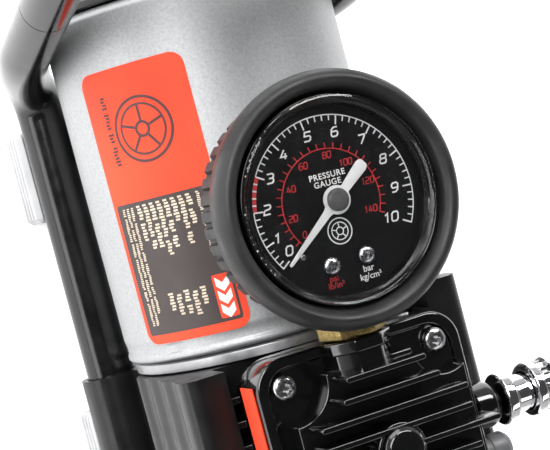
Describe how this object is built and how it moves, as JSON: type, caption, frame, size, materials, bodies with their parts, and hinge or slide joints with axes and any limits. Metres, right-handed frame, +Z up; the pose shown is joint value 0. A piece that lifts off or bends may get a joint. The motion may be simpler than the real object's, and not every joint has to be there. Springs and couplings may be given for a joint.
{
  "type": "portable air compressor",
  "caption": "Portable oil-free piston air compressor: motor can, finned cylinder head, dial gauge, quick coupler and tubular carry frame.",
  "frame": {"origin": "on the ground under the middle of the machine", "axes": "+X along the motor shaft towards the crankcase and front cover, +Y towards the outlet coupler side, +Z up"},
  "size_m": [0.19, 0.1076, 0.1358],
  "materials": {
    "can": "silver hammer-tone enamel",
    "cast_black": "gloss black enamel on a casting",
    "case_black": "satin black moulding",
    "tube_black": "black powder coat",
    "plate": "as machined",
    "steel": "zinc plated",
    "chrome": "polished",
    "brass": "tumbled",
    "rubber": "moulded",
    "foot": "grey moulded",
    "dial": "matt black dial",
    "pointer": "white",
    "glass": "clear",
    "red": "red",
    "magnet": "ferrite",
    "copper": "copper winding and steel core",
    "carbon": "carbon",
    "alloy": "die cast",
    "seal": "filled fluoropolymer",
    "grey_plastic": "grey moulding"
  },
  "bodies": {
    "frame": {"bearing_front": "steel", "bearing_rear": "steel", "bourdon_tube": "brass", "brush_left": "carbon", "brush_plate": "case_black", "brush_right": "carbon", "cable_gland": "rubber", "coupler_body": "chrome", "crankcase": "case_black", "cylinder": "cast_black", "cylinder_head": "cast_black", "discharge_reed": "steel", "end_plate": "plate", "foot_front_left": "foot", "foot_front_right": "foot", "foot_rear_left": "foot", "foot_rear_right": "foot", "frame_tube_left": "tube_black", "frame_tube_right": "tube_black", "front_cover": "case_black", "gauge_bezel": "rubber", "gauge_case": "rubber", "gauge_dial": "dial", "gauge_lens": "glass", "gauge_retainer": "cast_black", "gauge_stem": "brass", "handle_bar": "tube_black", "handle_grip": "rubber", "head_gasket": "rubber", "head_label": "red", "head_plug": "cast_black", "head_screw_1": "steel", "head_screw_2": "steel", "head_screw_3": "steel", "head_screw_4": "steel", "intake_filter": "grey_plastic", "intake_reed": "steel", "magnet_lower": "magnet", "magnet_upper": "magnet", "motor_can": "can", "motor_cradle": "rubber", "outlet_port": "cast_black", "rear_cap": "case_black", "switch_box": "case_black", "valve_plate": "plate"},
    "rotor": {"motor_shaft": "steel", "armature": "copper", "commutator": "copper", "cooling_fan": "case_black", "crank_disc": "steel"},
    "piston_set": {"crank_pin": "steel", "big_end_bearing": "steel", "conrod": "alloy", "piston": "alloy", "piston_cup": "seal"},
    "needle": {"pointer": "pointer", "pointer_cap": "dial"},
    "sleeve": {"coupler_sleeve": "chrome"},
    "switch_rocker": {"rocker": "red"}
  },
  "joints": [
    {"name": "shaft_spin", "type": "hinge", "parent": "frame", "child": "rotor", "pos_m": [-0.01525, -0.00011, 0.05], "axis": [1, 0, 0], "continuous": true},
    {"name": "piston_stroke", "type": "slide", "parent": "frame", "child": "piston_set", "axis": [0, 0, 1], "range_m": [0, 0.02]},
    {"name": "pointer_turn", "type": "hinge", "parent": "frame", "child": "needle", "pos_m": [-0.00125, -0.00011, 0.117], "axis": [0, 0, -1], "range_deg": [0, 246], "stiffness_Nm_per_rad": 0.00002},
    {"name": "sleeve_slide", "type": "slide", "parent": "frame", "child": "sleeve", "axis": [0, -1, 0], "range_m": [0, 0.004], "stiffness_N_per_m": 400},
    {"name": "rocker_tilt", "type": "hinge", "parent": "frame", "child": "switch_rocker", "pos_m": [0.00675, 0.04169, 0.0692], "axis": [0, 0, 1], "range_deg": [0, 8]}
  ]
}
